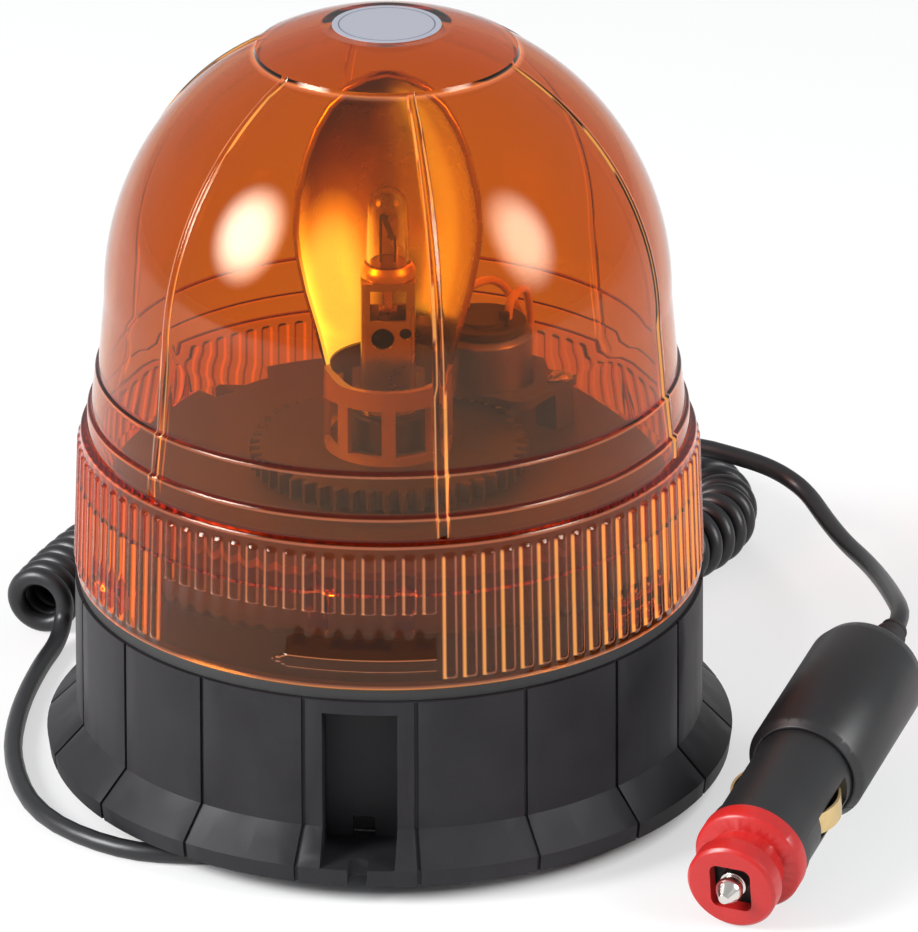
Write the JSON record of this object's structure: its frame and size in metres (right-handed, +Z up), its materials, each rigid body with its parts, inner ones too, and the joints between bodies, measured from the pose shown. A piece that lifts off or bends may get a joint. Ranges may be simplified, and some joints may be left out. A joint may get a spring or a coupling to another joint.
{
  "type": "magnetic rotating beacon",
  "caption": "Rotating beacon with a clear amber bayonet dome, turning reflector, magnetic base and a curly lead with a car plug.",
  "frame": {"origin": "middle of the magnetic pad's underside, on the surface the beacon stands on", "axes": "+Z up through the dome and the rotor's axis, -Y towards the viewer of the picture, +X to the side of the plug"},
  "size_m": [0.1759, 0.2142, 0.1472],
  "materials": {
    "base_plastic": "satin",
    "gasket_rubber": "matte",
    "galvanised_steel": "satin",
    "screw_steel": "satin",
    "pot_steel": "satin",
    "ferrite": "matte",
    "pad_rubber": "matte",
    "terminal_nylon": "satin",
    "wire_pvc": "satin",
    "deck_plastic": "satin",
    "post_steel": "polished",
    "gear_black": "satin",
    "acetal_white": "satin",
    "hood_yellow": "polished",
    "motor_steel": "satin",
    "motor_black": "satin",
    "brass": "satin",
    "holder_steel": "satin",
    "glass_clear": "polished",
    "tungsten": "satin",
    "amber_polycarbonate": "polished",
    "label_white": "matte",
    "cord_black": "satin",
    "plug_black": "satin",
    "plug_red": "satin",
    "nickel": "polished",
    "spring_steel": "satin"
  },
  "bodies": {
    "base": {"base_housing": "base_plastic", "lens_gasket": "gasket_rubber", "bottom_plate": "galvanised_steel", "bottom_screws": "screw_steel", "magnet_pot": "pot_steel", "ring_magnet": "ferrite", "magnet_pad": "pad_rubber", "magnet_bolt": "screw_steel", "magnet_nut": "screw_steel", "cable_grommet": "gasket_rubber", "terminal_block": "terminal_nylon", "inner_wires": "wire_pvc", "chassis_deck": "deck_plastic", "deck_screws": "screw_steel", "bearing_post": "post_steel", "retaining_ring": "spring_steel", "motor_bracket": "deck_plastic", "motor_screws": "screw_steel", "motor_can": "motor_steel", "motor_cap": "motor_black", "motor_leads": "wire_pvc", "bulb_holder": "holder_steel", "bulb_flange": "brass", "bulb_glass": "glass_clear", "bulb_filament": "tungsten", "bulb_terminal": "brass", "base_lead": "cord_black", "curly_cord": "cord_black", "plug_lead": "cord_black", "plug_nose": "plug_black", "plug_fuse": "glass_clear", "plug_shell_upper": "plug_black", "plug_shell_lower": "plug_black", "strain_relief": "gasket_rubber"},
    "rotor": {"rotor_hub": "gear_black", "reflector_drum": "acetal_white", "hub_bush": "brass", "reflector": "hood_yellow"},
    "pinion": {"motor_pinion": "brass"},
    "dome": {"lens": "amber_polycarbonate", "lens_label": "label_white"},
    "adapter": {"plug_adapter": "plug_red"},
    "tip": {"plug_tip": "nickel", "plug_spring": "spring_steel"},
    "contact_right": {"plug_contact_right": "brass"},
    "contact_left": {"plug_contact_left": "brass"}
  },
  "joints": [
    {"name": "rotor_spin", "type": "hinge", "parent": "base", "child": "rotor", "pos_m": [0, 0, 0.065], "axis": [0, 0, 1], "continuous": true},
    {"name": "pinion_spin", "type": "hinge", "parent": "base", "child": "pinion", "pos_m": [0.01807, 0.02407, 0.06], "axis": [0, 0, 1], "continuous": true},
    {"name": "lens_twist", "type": "hinge", "parent": "base", "child": "dome", "pos_m": [0, 0, 0.041], "axis": [0, 0, 1], "range_deg": [0, 22]},
    {"name": "adapter_twist", "type": "hinge", "parent": "base", "child": "adapter", "pos_m": [0.0635, -0.0685, 0.00956], "axis": [0.4006, 0.8997, 0.1736], "range_deg": [0, 30]},
    {"name": "tip_press", "type": "slide", "parent": "base", "child": "tip", "axis": [0.4006, 0.8997, 0.1736], "range_m": [0, 0.003], "stiffness_N_per_m": 1500, "springref_m": -0.001},
    {"name": "contact_right_press", "type": "slide", "parent": "base", "child": "contact_right", "axis": [-0.9135, 0.4067, 0], "range_m": [0, 0.0008], "stiffness_N_per_m": 2500, "springref_m": -0.0004},
    {"name": "contact_left_press", "type": "slide", "parent": "base", "child": "contact_left", "axis": [0.9135, -0.4067, 0], "range_m": [0, 0.0008], "stiffness_N_per_m": 2500, "springref_m": -0.0004}
  ],
  "couplings": [
    {"joint": "pinion_spin", "follows": "rotor_spin", "ratio": -5}
  ]
}
